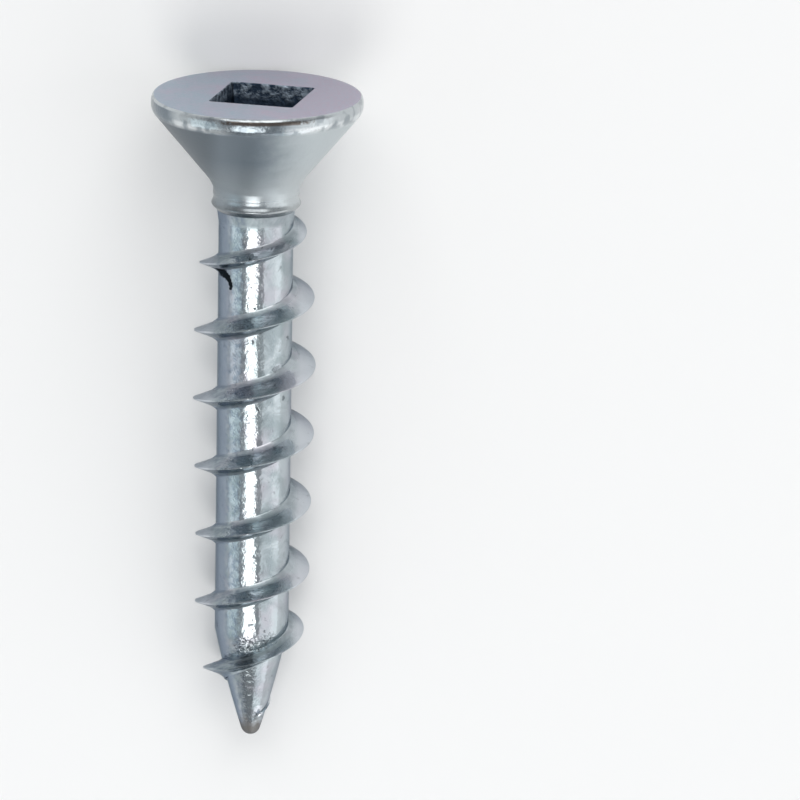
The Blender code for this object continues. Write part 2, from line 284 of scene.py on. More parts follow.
class StageSettings(PropertyGroup):
    """Camera, floor and lamps."""

    view_lean: angle("View lean", "Camera's lean towards the head, from square across the screw", 16.35)
    distance: mm("Camera distance", "From the middle of the screw", 250.0)
    focal: mm("Focal length", "Camera's focal length, as millimetres on a 36 mm sensor", 337.41)
    aim_right: angle("Aim right", "How far the camera is turned to the right of the screw", 1.115)
    aim_up: angle("Aim up", "How far the camera is turned up", 0.148)
    roll: angle("Roll", "How far the camera is rolled", 0.632)
    floor_radius: number("Floor radius", "Flat part of the floor", 0.50, unit="LENGTH")
    wall_curve: number("Wall curve", "Radius of the sweep up", 0.35, unit="LENGTH")
    floor_colour: colour("Floor", "Plain pale floor and backdrop", "f6f6f6")
    sky_colour: colour("Room", "Soft light of the room", "a5a8ab")
    key: number("Key", "Radiance of the panel over the screw", 3.25, min=0.0)
    head: number("Head", "Radiance of the panel beyond the head", 1.65, min=0.0)
    tip: number("Tip", "Radiance of the low panel beyond the tip", 0.76, min=0.0)
    left: number("Left", "Radiance of the low panel on the left", 0.56, min=0.0)
    right: number("Right", "Radiance of the broad panel on the right", 0.76, min=0.0)


def ease(share):
    """A smooth step from 0 to 1."""
    share = min(max(share, 0.0), 1.0)
    return share * share * (3 - 2 * share)


def arc(centre, radius, start, end, steps):
    """Points (radius, depth) on an arc, angles measured from straight out towards deeper."""
    turns = (start + (end - start) * step / steps for step in range(steps + 1))
    return [(centre[0] + radius * math.cos(turn), centre[1] + radius * math.sin(turn)) for turn in turns]


def head_section(head, shank):
    """Half section of the head as points (radius, depth), and the depth at which the collar ends."""
    half_cone = head.cone_angle / 2
    core = shank.core / 2
    outer, collar, shoulder = head.diameter / 2, core + head.collar_step, core + head.shoulder_step
    crest = head.rim_height * RIM_CREST_SHARE
    points = [(0.0, 0.0)]
    points += [
        (outer - inset * MM, depth * MM * crest / (RIM_SECTION_CREST * MM)) for inset, depth in RIM_SECTION
    ]
    cone_radius = outer - head.rim_under * (1 - math.sin(half_cone))
    cone_depth = head.rim_height + head.rim_under * math.cos(half_cone)

    def fillet(waist):
        """Centre of the hollow rounding that leads from the cone into this radius."""
        end = waist + head.neck_fillet * (1 - math.cos(half_cone))
        depth = cone_depth + (cone_radius - end) / math.tan(half_cone)
        return waist + head.neck_fillet, depth + head.neck_fillet * math.sin(half_cone)

    # The hollow tightens towards a slim waist, and the collar's lip swells out below it.
    bottom = fillet(collar)[1] + head.collar_length
    lip = collar - head.lip_inset
    waist, waist_rise, rounding = lip - head.lip, 0.30 * MM, 0.35 * MM
    meet = math.radians(20)
    centre, depth = fillet(waist + (rounding - head.neck_fillet) * (1 - math.cos(meet)))
    points += arc((centre, depth), head.neck_fillet, math.pi + half_cone, math.pi + meet, 12)
    points += arc((waist + rounding, bottom - waist_rise), rounding, math.pi + meet, math.pi - meet, 8)
    points += [(lip - head.lip * inset, bottom - rise * MM) for inset, rise in LIP_SECTION]
    shoulder_depth = points[-1][1] + points[-1][0] - shoulder
    points += [(core, shoulder_depth + head.shoulder_step), (0.0, shoulder_depth + head.shoulder_step)]
    return points, shoulder_depth


def core_radius(depth, head, shank, shoulder_depth):
    """Radius of the shank without its thread at this depth."""
    core = shank.core / 2
    start = shank.length - shank.point
    if depth < start:
        blend = 1 - min(max((depth - shoulder_depth) / head.blend_length, 0.0), 1.0)
        return core + head.shoulder_step * blend * blend
    half = shank.point_angle / 2
    dome = shank.length - shank.tip * (1 - math.sin(half))
    dome_radius = shank.tip * math.cos(half)
    if depth >= dome:
        return math.sqrt(max(shank.tip**2 - (depth - shank.length + shank.tip) ** 2, 0.0))
    share = (depth - start) / (dome - start)
    bow = dome_radius + (dome - start) / 2 * math.tan(half)
    return (1 - share) ** 2 * core + 2 * share * (1 - share) * bow + share**2 * dome_radius


def ridge_at(turn, head, shank, shoulder_depth):
    """Where the thread's section stands at this turn: core radius, depth and height above the core."""

    def risen(depth):
        """How far the thread has risen to its full height, from 0 to 1."""
        share = (depth - shoulder_depth + shank.run_in_hidden) / shank.run_in
        return 1 - (1 - min(max(share, 0.0), 1.0)) ** shank.run_in_power

    depth = shank.first_crest + shank.pitch * turn
    depth += shank.run_in_lag * (1 - risen(depth))
    # The last lobe on the right was rolled a little nearer to the head than an even spiral.
    depth -= shank.last_lobe * math.exp(-(((turn - LAST_LOBE_TURN) / LAST_LOBE_REACH) ** 2))
    start, end = shank.length - shank.point, shank.length - shank.end_to_tip
    crest = shank.thread / 2
    narrowed = ease((depth - shank.narrowing_start) / shank.narrowing_length)
    crest -= (shank.thread - shank.lower_thread) / 2 * narrowed
    crest -= shank.taper_drop * ease((depth - start + shank.taper_length / 2) / shank.taper_length)
    radius = core_radius(depth, head, shank, shoulder_depth)
    fade = 1 - (1 - shank.tail_share) * ease((depth - end + shank.end_length) / shank.end_length)
    height = (crest - radius) * max(risen(depth), LEAST_RUN_IN) * fade
    # It starts from nothing inside the collar.
    height *= ease((turn - FIRST_TURN) / START_TURNS)
    return radius, depth, max(height, LEAST_HEIGHT)


def deselect_all():
    """Leave nothing selected, because the loaded CAD nodes are selected and operators act on all that is."""
    for each in list(bpy.context.selected_objects):
        each.select_set(False)
    bpy.context.view_layer.objects.active = None


def activate(piece):
    """Make this object the only selected one, and active."""
    deselect_all()
    piece.select_set(True)
    bpy.context.view_layer.objects.active = piece


def edit_all():
    """Edit mode on the active object, with everything in it selected."""
    bpy.ops.object.mode_set(mode="EDIT")
    bpy.ops.mesh.select_all(action="SELECT")


def draw_chain(name, points):
    """A new object in edit mode that holds these points joined by edges, all selected."""
    deselect_all()
    bpy.ops.mesh.primitive_plane_add(size=MM, location=points[0])
    piece = bpy.context.object
    piece.name = piece.data.name = name
    bpy.ops.object.transform_apply(location=True, rotation=False, scale=False)
    edit_all()
    bpy.ops.mesh.merge(type="CENTER")
    for here, there in zip(points, points[1:]):
        bpy.ops.mesh.extrude_vertices_move(TRANSFORM_OT_translate={"value": Vector(there) - Vector(here)})
    bpy.ops.mesh.select_all(action="SELECT")
    return piece


def turn_section(name, section, segments):
    """A solid of revolution about Z from a half section of points (radius, depth)."""
    piece = draw_chain(name, [(radius, 0.0, -depth) for radius, depth in section])
    bpy.ops.mesh.spin(steps=segments, angle=2 * math.pi, center=(0, 0, 0), axis=(0, 0, 1))
    bpy.ops.mesh.select_all(action="SELECT")
    bpy.ops.mesh.remove_doubles(threshold=SECTION_MERGE)
    bpy.ops.mesh.normals_make_consistent(inside=False)
    bpy.ops.object.mode_set(mode="OBJECT")
    return piece


def apply_boolean(piece, helper, operation):
    """Join a helper to a piece, or cut it out, and remove the helper."""
    activate(piece)
    step = piece.modifiers.new(helper.name, "BOOLEAN")
    step.object = helper
    step.operation = operation
    step.solver = "EXACT"
    bpy.ops.object.modifier_apply(modifier=step.name)
    bpy.data.objects.remove(helper, do_unlink=True)


def add_node(tree, kind, settings=None, links=None):
    """A shader node with its attributes or inputs set and its inputs linked, by name or number.

    A node that is given to link from stands for its first output.
    """
    made = tree.nodes.new(kind)
    for name, value in (settings or {}).items():
        if isinstance(name, str) and hasattr(made, name):
            setattr(made, name, value)
        else:
            made.inputs[name].default_value = value
    for name, source in (links or {}).items():
        output = source if isinstance(source, bpy.types.NodeSocket) else source.outputs[0]
        tree.links.new(output, made.inputs[name])
    return made


def new_material(name):
    """An empty node material, and the function that adds a node to it."""
    material = bpy.data.materials.new(name)
    material.use_nodes = True
    material.node_tree.nodes.clear()
    return material, partial(add_node, material.node_tree)


def rgba(value):
    """An opaque colour for a node's socket."""
    return (*value, 1.0)


class SCREW_OT_turn_head(Operator):
    """Turn the head: flat top, rim, cone and collar"""

    bl_idname = "particle_screw.turn_head"
    bl_label = "Turn head"

    def execute(self, context):
        section, _ = head_section(context.scene.screw_head, context.scene.screw_shank)
        turn_section("head", section, context.scene.screw_head.segments)
        return {"FINISHED"}


def pinch_burr(centre, shank):
    """The small burr that the two dies pinch where they part, just above the tip: a grain lying aslant."""
    deselect_all()
    bpy.ops.mesh.primitive_uv_sphere_add(segments=24, ring_count=16, radius=shank.burr / 2, location=centre)
    burr = bpy.context.object
    burr.name = "burr"
    bpy.ops.object.transform_apply(location=True, rotation=False, scale=False)
    edit_all()
    stretch = shank.burr_length / shank.burr
    bpy.ops.transform.resize(value=(stretch, 1.1, 1.0), center_override=centre)
    # It rises to the right and follows the point's round side.
    bpy.ops.transform.rotate(value=math.radians(42), orient_axis="Y", center_override=centre)
    bpy.ops.transform.rotate(value=math.radians(25), orient_axis="Z", center_override=centre)
    bpy.ops.object.mode_set(mode="OBJECT")
    return burr


class SCREW_OT_roll_shank(Operator):
    """Roll the shank: the core with its point, and the thread swept round it"""

    bl_idname = "particle_screw.roll_shank"
    bl_label = "Roll shank"

    def execute(self, context):
        head, shank = context.scene.screw_head, context.scene.screw_shank
        _, shoulder = head_section(head, shank)
        top = shoulder - head.collar_length / 2
        dome = shank.length - shank.tip
        start = shank.length - shank.point
        rows = [top + (start - top) * row / CORE_ROWS for row in range(CORE_ROWS)]
        rows += [start + (shank.point - shank.tip) * row / CORE_ROWS for row in range(CORE_ROWS)]
        outline = [(core_radius(depth, head, shank, shoulder), depth) for depth in rows]
        outline += arc((0.0, dome), shank.tip, shank.point_angle / 2, math.pi / 2, 8)
        outline[-1] = (0.0, shank.length)
        core = turn_section("core", [(0.0, top)] + outline, shank.steps)

        def foot(turn):
            """The point on the core under the thread's crest, and the thread's height there."""
            radius, depth, height = ridge_at(turn, head, shank, shoulder)
            around = math.pi - 2 * math.pi * turn
            return Vector((radius * math.cos(around), radius * math.sin(around), -depth)), height

        # The section stands in a plane through the axis: sunk root, root fillet, flank, rounded crest. Each
        # point is how far to the side and how far out it lies, as shares of the thread's height.
        slope = math.tan(shank.flank)
        half = [(0.80 * slope, -0.30), (slope + 0.24, -0.03), (slope + 0.16, 0.02), (slope + 0.09, 0.10)]
        half += [(slope + 0.01, 0.22), (0.5 * slope + 0.066, 0.50), (0.055, 0.95), (0.035, 0.99)]
        # The sweep ends in the middle of the burr, still high enough there to cut the core cleanly.
        count = int((shank.burr_turn - FIRST_TURN) * shank.steps)
        at, height = foot(FIRST_TURN)
        outward = Vector((at.x, at.y, 0.0)).normalized()
        up = Vector((0.0, 0.0, 1.0))
        profile = [at + height * (up * side + outward * out) for side, out in half]
        profile.append(at + height * outward)
        profile += [at + height * (outward * out - up * side) for side, out in reversed(half)]
        thread = draw_chain("thread", profile)
        bpy.ops.mesh.edge_face_add()
        step_angle = 2 * math.pi / shank.steps
        for step in range(1, count + 1):
            there, rise = foot(FIRST_TURN + step / shank.steps)
            outward = Vector((at.x, at.y, 0.0)).normalized()
            drawn_in = Vector((there.x, there.y)).length - Vector((at.x, at.y)).length
            move = outward * drawn_in + up * (there.z - at.z)
            bpy.ops.mesh.extrude_region_move(TRANSFORM_OT_translate={"value": move})
            # With no window the operator turns the other way, so the angle's sign is reversed.
            bpy.ops.transform.rotate(value=step_angle, orient_axis="Z", center_override=(0.0, 0.0, 0.0))
            bpy.ops.transform.resize(value=(rise / height,) * 3, center_override=there)
            at, height = there, rise
        bpy.ops.mesh.select_all(action="SELECT")
        bpy.ops.mesh.normals_make_consistent(inside=False)
        if bmesh.from_edit_mesh(thread.data).calc_volume(signed=True) < 0:
            bpy.ops.mesh.flip_normals()
        bpy.ops.object.mode_set(mode="OBJECT")
        apply_boolean(core, thread, "UNION")

        centre, _ = foot(shank.burr_turn)
        apply_boolean(core, pinch_burr(centre, shank), "UNION")
        core.name = "shank"
        return {"FINISHED"}


class SCREW_OT_punch_socket(Operator):
    """Model the punch of the square socket: a tapered square with a conical end"""

    bl_idname = "particle_screw.punch_socket"
    bl_label = "Punch socket"

    def execute(self, context):
        socket = context.scene.screw_socket
        deselect_all()
        above = 0.5 * MM
        bpy.ops.mesh.primitive_cube_add(size=1.0, location=(0, 0, (above - socket.depth) / 2))
        punch = context.object
        punch.name = "punch"
        widening = 1 + above / socket.depth * (socket.mouth / socket.floor - 1)
        top = socket.mouth * widening
        punch.scale = (top, top, above + socket.depth)
        bpy.ops.object.transform_apply(location=True, rotation=False, scale=True)
        bpy.ops.object.mode_set(mode="EDIT")
        build = bmesh.from_edit_mesh(punch.data)
        for corner in build.verts:
            corner.select_set(corner.co.z < -socket.depth / 2)
        build.select_flush(True)
        bmesh.update_edit_mesh(punch.data)
        share = socket.floor / top
        bpy.ops.transform.resize(value=(share, share, 1.0), center_override=(0.0, 0.0, -socket.depth))
        bpy.ops.mesh.select_mode(type="EDGE")
        bpy.ops.mesh.select_all(action="DESELECT")
        build = bmesh.from_edit_mesh(punch.data)
        for edge in build.edges:
            heights = [corner.co.z for corner in edge.verts]
            edge.select_set(max(heights) - min(heights) > socket.depth / 2)
        bmesh.update_edit_mesh(punch.data)
        bpy.ops.mesh.bevel(offset=socket.corner, segments=4, affect="EDGES")
        bpy.ops.mesh.select_mode(type="VERT")
        bpy.ops.object.mode_set(mode="OBJECT")

        radius = socket.floor * socket.dimple_share / 2
        slope = math.tan(socket.dimple_angle / 2)
        over = 0.25 * MM
        deselect_all()
        bpy.ops.mesh.primitive_cone_add(
            vertices=96,
            radius1=0.0,
            radius2=radius + over * slope,
            depth=radius / slope + over,
            location=(0, 0, -socket.depth + (over - radius / slope) / 2),
        )
        dimple = context.object
        dimple.name = "dimple"
        bpy.ops.object.transform_apply(location=True, rotation=False, scale=False)
        apply_boolean(punch, dimple, "UNION")
        activate(punch)
        punch.location = (socket.off_centre, 0, 0)
        punch.rotation_euler = (0, 0, socket.turn)
        bpy.ops.object.transform_apply(location=True, rotation=True, scale=False)
        return {"FINISHED"}


def finish_of(face, head, socket, shoulder):
    """The finish of one face of the upright screw, by its place and by where it looks."""
    depth, out = -face.center.z, face.center.xy.length
    inward = face.normal.xy.dot(face.center.xy) <= 0 or face.normal.z > 0.5
    if out < socket.mouth and FACE_DEPTH < depth < socket.depth * SOCKET_REACH and inward:
        return punched_socket
    if depth <= FACE_DEPTH:
        return struck_face
    if depth < head.rim_height + head.rim_under and out > head.diameter / 2 * RIM_REACH:
        return burnished_rim
    if depth < shoulder - head.shoulder_step / 2:
        return headed_cone
    return rolled_shank


class SCREW_OT_join_screw(Operator):
    """Join head and shank, cut the socket and lay the screw down where the CAD model lies"""

    bl_idname = "particle_screw.join_screw"
    bl_label = "Join and lay down"

    def execute(self, context):
        head, shank, socket = context.scene.screw_head, context.scene.screw_shank, context.scene.screw_socket
        _, shoulder = head_section(head, shank)
        body = bpy.data.objects["head"]
        apply_boolean(body, bpy.data.objects["shank"], "UNION")
        apply_boolean(body, bpy.data.objects["punch"], "DIFFERENCE")
        activate(body)

        # The mouth's edge is worn to a small bevel.
        edit_all()
        bpy.ops.mesh.remove_doubles(threshold=JOIN_MERGE)
        bpy.ops.mesh.select_mode(type="EDGE")
        bpy.ops.mesh.select_all(action="DESELECT")
        build = bmesh.from_edit_mesh(body.data)
        for edge in build.edges:
            on_face = all(
                abs(corner.co.z) < ON_FACE and corner.co.xy.length < socket.mouth for corner in edge.verts
            )
            edge.select_set(on_face and edge.calc_face_angle(0.0) > math.radians(45))
        bmesh.update_edit_mesh(body.data)
        bpy.ops.mesh.bevel(offset=socket.edge, segments=3, affect="EDGES")
        bpy.ops.mesh.select_mode(type="VERT")
        bpy.ops.object.mode_set(mode="OBJECT")

        # One material for each way the surface was made, given to the faces by their place.
        finishes = (rolled_shank, headed_cone, burnished_rim, struck_face, punched_socket)
        for finish in finishes:
            body.data.materials.append(finish(context.scene.zinc_colours))
        for face in body.data.polygons:
            face.material_index = finishes.index(finish_of(face, head, socket, shoulder))
        bpy.ops.object.shade_smooth_by_angle(angle=SMOOTH_ANGLE)

        # Laid on its side: head towards +Y, the camera's side of it upwards.
        edit_all()
        upright = math.pi / 2 - REST_TILT
        bpy.ops.transform.rotate(value=upright, orient_axis="X", center_override=(0.0, 0.0, 0.0))
        bpy.ops.transform.translate(value=head_centre())
        bpy.ops.object.mode_set(mode="OBJECT")
        body.name = body.data.name = "zinc_screw"
        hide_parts(SCREW_NODE)
        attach(body, "root")
        return {"FINISHED"}


def head_centre():
    """The centre of the head's flat top as the screw lies."""
    _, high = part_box(SCREW_NODE)
    sizes = bpy.context.scene.screw_head
    flat = math.cos(math.pi / CAD_FACETS)
    reach = (sizes.diameter / 2 - sizes.top_edge) * flat * math.sin(REST_TILT)
    rise = sizes.diameter / 2 * flat * math.cos(REST_TILT) - sizes.top_edge * math.sin(REST_TILT)
    return Vector((0.0, high[1] - reach, high[2] - rise))


def screw_space(add):
    """Object coordinates turned back to the screw's own axis, in millimetres, and their X and Z.

    X points to the photo's right and Z is minus the depth.
    """
    turn = Matrix.Rotation(math.pi / 2 - REST_TILT, 3, "X")
    place = add("ShaderNodeTexCoord")
    settings = {
        "Scale": (1 / MM,) * 3,
        "Rotation": (math.pi / 2 - REST_TILT, 0.0, 0.0),
        "Location": -(turn @ head_centre()) / MM,
    }
    where = add("ShaderNodeMapping", settings, {"Vector": place.outputs["Object"]})
    x, _, z = add("ShaderNodeSeparateXYZ", None, {"Vector": where}).outputs
    return where, x, z


def strongest(add, masks):
    """The largest of several masks."""
    top = masks[0]
    for mask in masks[1:]:
        top = add(MATH, {"operation": "MAXIMUM"}, {0: top, 1: mask})
    return top


def blotches(add, where, ragged, places):
    """A mask that is 1 around points of the screw and falls to 0 with a ragged edge.

    Each place is a centre, a radius and the depth of the ragged edge, in millimetres. The fall starts at
    three quarters of the radius.
    """
    masks = []
    for centre, radius, edge in places:
        distance = add(VECTOR_MATH, {"operation": "DISTANCE", 1: centre}, {0: where})
        uneven = add(MATH, {"operation": "MULTIPLY_ADD", 1: edge * 2, 2: -edge}, {0: ragged})
        shifted = add(MATH, {"operation": "ADD"}, {0: distance.outputs["Value"], 1: uneven})
        fall = {"From Min": radius * 0.75, "From Max": radius, "To Min": 1.0, "To Max": 0.0}
        masks.append(add(RAMP, fall, {"Value": shifted}))
    return strongest(add, masks)


def layered(add, base, layers):
    """Colours laid over a base in order, each through its mask. A colour may also be a node's output."""
    for over, mask in layers:
        settings, links = {"data_type": "RGBA"}, {0: mask}
        # Inputs 6 and 7 and output 2 of this node are its colours.
        for side, value in ((6, base), (7, over)):
            if isinstance(value, bpy.types.NodeSocket):
                links[side] = value
            else:
                settings[side] = rgba(value)
        base = add("ShaderNodeMix", settings, links).outputs[2]
    return base


def zinc_shader(add, metal, rough, relief, relief_height, glance=(1.0, 1.0, 1.0)):
    """A metal shader with its colour, roughness and bump linked. The last colour shows at a glance."""
    bump = add("ShaderNodeBump", {"Strength": 1.0, "Distance": relief_height}, {"Height": relief})
    links = {"Base Color": metal, "Roughness": rough, "Normal": bump}
    shader = add("ShaderNodeBsdfPrincipled", {"Metallic": 1.0, "Specular Tint": rgba(glance)}, links)
    add("ShaderNodeOutputMaterial", None, {"Surface": shader})


def rolled_shank(colours):
    """Bright zinc over a rolled thread. The dies leave it glossy, so highlights are sharp, but the wire's own
    grain and pits stay in it and make their edges ragged. Dull patches, dark spots, a dark mark and a brown
    tip break it up. Painted shade lies down the left side, in the pits and in a band down the point; painted
    light lies on the right side, the thread's outer parts at the sides and the burr."""
    material, add = new_material("bright_zinc_plate_on_rolled_steel")
    where, x, z = screw_space(add)
    flat = add(VECTOR_MATH, {"operation": "MULTIPLY", 1: (1.0, 1.0, 0.0)}, {0: where})
    radius = add(VECTOR_MATH, {"operation": "LENGTH"}, {0: flat}).outputs["Value"]
    # How far round to the right a point lies: -1 on the left, 0 in front and behind, 1 on the right.
    side = add(MATH, {"operation": "DIVIDE"}, {0: x, 1: radius})

    # Scales are per millimetre: grain of 0.15 mm, fine grain of 0.07 mm, pits of 0.2 mm, patches of 1 mm.
    grain = add(NOISE, {"Scale": 6.0, "Detail": 3.0, "Roughness": 0.5}, {"Vector": where})
    fine = add(NOISE, {"Scale": 14.0, "Detail": 2.0}, {"Vector": where})
    holes = add(NOISE, {"Scale": 3.6, "Detail": 3.0, "Distortion": 0.5}, {"Vector": where})
    patch = add(NOISE, {"Scale": 1.1, "Detail": 5.0, "Roughness": 0.65, "Distortion": 0.6}, {"Vector": where})
    tinted = add(NOISE, {"Scale": 0.9, "Detail": 2.0}, {"Vector": where})
    dull = add(RAMP, {"From Min": 0.42, "From Max": 0.60}, {"Value": patch})
    lilac = add(RAMP, {"From Min": 0.48, "From Max": 0.66, "To Max": 0.7}, {"Value": tinted})

    # The screw's right side was pressed smoother than its front and left, so its pits are fainter.
    coarse = add(RAMP, {"From Min": 0.08, "From Max": 0.6, "To Min": 1.0, "To Max": 0.3}, {"Value": side})
    # Painted shade: the pits are also painted dark, most of all in front.
    front = add(RAMP, {"From Min": -0.4, "From Max": 0.0, "To Min": 0.35}, {"Value": side})
    pits = add(RAMP, {"From Min": 0.65, "From Max": 0.72}, {"Value": holes})
    shaded_pits = add(MATH, {"operation": "MULTIPLY"}, {0: pits, 1: coarse})
    shaded_pits = add(MATH, {"operation": "MULTIPLY"}, {0: shaded_pits, 1: front})

    # Painted shade: a duller, bluer tone down the core's left side, left off the thread's outer parts.
    left = add(RAMP, {"From Min": -0.60, "From Max": -0.78, "To Max": 0.9}, {"Value": side})
    low = add(RAMP, {"From Min": 1.40, "From Max": 1.30}, {"Value": radius})
    painted_shade = add(MATH, {"operation": "MULTIPLY"}, {0: left, 1: low})
    # Left of the front the painted shade breaks up into a soft mottle of about 0.15 mm.
    mottle = add(RAMP, {"From Min": 0.43, "From Max": 0.65, "To Max": 0.7}, {"Value": grain})
    left_of_front = add(RAMP, {"From Min": -0.15, "From Max": -0.35}, {"Value": side})
    mottled = add(MATH, {"operation": "MULTIPLY"}, {0: mottle, 1: left_of_front})

    # Painted light on the thread's outer parts at the sides and the right side; a painted highlight on the
    # burr.
    sideways = add(MATH, {"operation": "ABSOLUTE"}, {0: x})
    painted_sheen = add(RAMP, {"From Min": 1.25, "From Max": 1.55, "To Max": 0.75}, {"Value": sideways})
    right = add(RAMP, {"From Min": 0.70, "From Max": 0.92, "To Max": 0.25}, {"Value": side})
    painted_light = strongest(add, [painted_sheen, right, blotches(add, where, fine, BURR_HIGHLIGHT_PLACE)])

    # On the point a ragged band of painted dark reflection runs down the front, left of a smoother side.
    below = add(RAMP, {"From Min": -18.95, "From Max": -19.35}, {"Value": z})
    uneven = add(MATH, {"operation": "MULTIPLY_ADD", 1: 0.5}, {0: fine, 2: side})
    painted_dark_strip = add(MATH, {"operation": "COMPARE", 1: 0.14, 2: 0.20}, {0: uneven})
    painted_dark_strip = add(MATH, {"operation": "MULTIPLY"}, {0: painted_dark_strip, 1: below})
    painted_dark_strip = add(MATH, {"operation": "MULTIPLY", 1: 0.38}, {0: painted_dark_strip})
    # Above it the plating is torn, with dark hollows between the chips.
    torn = blotches(add, where, grain, TORN_PLACES)
    hollow = add(RAMP, {"From Min": 0.52, "From Max": 0.58, "To Max": 0.7}, {"Value": fine})
    hollow = add(MATH, {"operation": "MULTIPLY"}, {0: hollow, 1: torn})
    spots = [blotches(add, where, grain, BRUISE_PLACE), blotches(add, where, fine, SPOT_PLACES)]
    spots = add(MATH, {"operation": "MULTIPLY", 1: 0.6}, {0: strongest(add, spots)})
    bruised_and_shaded = strongest(add, [painted_dark_strip, hollow, spots])

    # The tip's plating is worn away, with a ragged edge.
    bare = add(MATH, {"operation": "MULTIPLY_ADD", 1: -0.9, 2: -20.92}, {0: grain})
    bare = add(MATH, {"operation": "SUBTRACT", "use_clamp": True}, {0: bare, 1: z})
    tip = add(RAMP, {"From Min": 0.0, "From Max": 0.45, "To Max": 0.85}, {"Value": bare})
    mark = blotches(add, where, fine, MARK_PLACES)
    metal = layered(
        add,
        colours.shank_light,
        [
            (colours.shank_dark, dull),
            (colours.shank_lilac, lilac),
            (colours.painted_shade, painted_shade),
            (colours.painted_shade, mottled),
            (colours.painted_sheen, painted_light),
            (colours.speck_and_shade, bruised_and_shaded),
            (colours.speck_and_shade, shaded_pits),
            (colours.tip, tip),
            (colours.mark, mark),
        ],
    )

    rough = add(RAMP, {"To Min": 0.13, "To Max": 0.27}, {"Value": dull})
    worn = strongest(add, [tip, mark])
    rough = add(MATH, {"operation": "MULTIPLY_ADD", 1: 0.3}, {0: worn, 2: rough})
    # The dies do not burnish the thread's root, so it is duller.
    inner = add(RAMP, {"From Min": 1.244, "From Max": 1.262}, {"Value": radius})
    outer = add(RAMP, {"From Min": 1.46, "From Max": 1.34, "To Max": 0.3}, {"Value": radius})
    rough = add(MATH, {"operation": "MULTIPLY_ADD"}, {0: inner, 1: outer, 2: rough})

    # The relief is the grain with the pits sunk into it, and the chips stand up and down in the torn spot.
    waves = add(MATH, {"operation": "MULTIPLY"}, {0: grain, 1: coarse})
    waves = add(MATH, {"operation": "MULTIPLY_ADD", 1: 0.12}, {0: fine, 2: waves})
    waves = add(MATH, {"operation": "MULTIPLY_ADD", 1: -0.35}, {0: shaded_pits, 2: waves})
    chips = add(MATH, {"operation": "MULTIPLY_ADD", 1: 3.6, 2: -1.8}, {0: grain})
    chips = add(MATH, {"operation": "MULTIPLY"}, {0: torn, 1: chips})
    waves = add(MATH, {"operation": "ADD"}, {0: waves, 1: chips})
    zinc_shader(add, metal, rough, waves, 0.018 * MM, colours.edge)
    return material


def cone_tone(add, colours, where, x, z):
    """The cone's colour: painted shade on the left and in front, painted light on the right and at the neck.
    """
    cloud = add(NOISE, {"Scale": 1.1, "Detail": 6.0, "Roughness": 0.6}, {"Vector": where})
    spread = add(MATH, {"operation": "MULTIPLY_ADD", 1: 0.30, 2: 0.02}, {0: cloud})
    side = add(MATH, {"operation": "MULTIPLY_ADD", 1: 0.22}, {0: x, 2: spread})
    gradual = {"interpolation_type": "SMOOTHSTEP"}
    light = add(RAMP, {"From Min": 0.10, "From Max": 0.62, **gradual}, {"Value": side})
    left = add(RAMP, {"From Min": -1.05, "From Max": -1.75, **gradual}, {"Value": x})
    # Painted light makes the neck lighter, most of all on the right.
    low = add(RAMP, {"From Min": -1.7, "From Max": -2.7}, {"Value": z})
    share = add(MATH, {"operation": "MULTIPLY_ADD", 1: 0.24, 2: 0.50, "use_clamp": True}, {0: x})
    neck = add(MATH, {"operation": "MULTIPLY"}, {0: low, 1: share})
    layers = [(colours.cone_painted_shade, left), (colours.cone, light), (colours.neck, neck)]
    return layered(add, colours.cone_dull, layers)


def headed_cone(colours):
    """Satin zinc under the head. The heading die left a finely scoured surface that blurs what it mirrors
    into soft gradients. Its colour carries painted shade on the left and painted light on the right and at
    the neck, with a darker ring in the corner under the collar."""
    material, add = new_material("satin_zinc_plate_on_headed_steel")
    where, x, z = screw_space(add)
    # The scouring is some 0.02 mm fine. It is drawn at 0.1 mm, because nothing finer would show.
    grain = add(NOISE, {"Scale": 9.0, "Detail": 4.0}, {"Vector": where})
    # A darker ring in the corner under the collar's lip.
    ring = add(MATH, {"operation": "MULTIPLY_ADD", 1: 0.25}, {0: grain, 2: z})
    dark_ring = add(RAMP, {"From Min": -3.40, "From Max": -3.52, "To Max": 0.3}, {"Value": ring})
    metal = layered(add, cone_tone(add, colours, where, x, z), [(colours.dark_ring, dark_ring)])
    # The neck is scoured deadest, where the die closed; the waist below it is smoother.
    neck = add(RAMP, {"From Min": -1.8, "From Max": -2.6, "To Min": 0.40, "To Max": 0.46}, {"Value": z})
    waist = add(RAMP, {"From Min": -3.0, "From Max": -3.28, "To Max": 0.19}, {"Value": z})
    rough = add(MATH, {"operation": "SUBTRACT"}, {0: neck, 1: waist})
    zinc_shader(add, metal, rough, grain, 0.005 * MM)
    return material


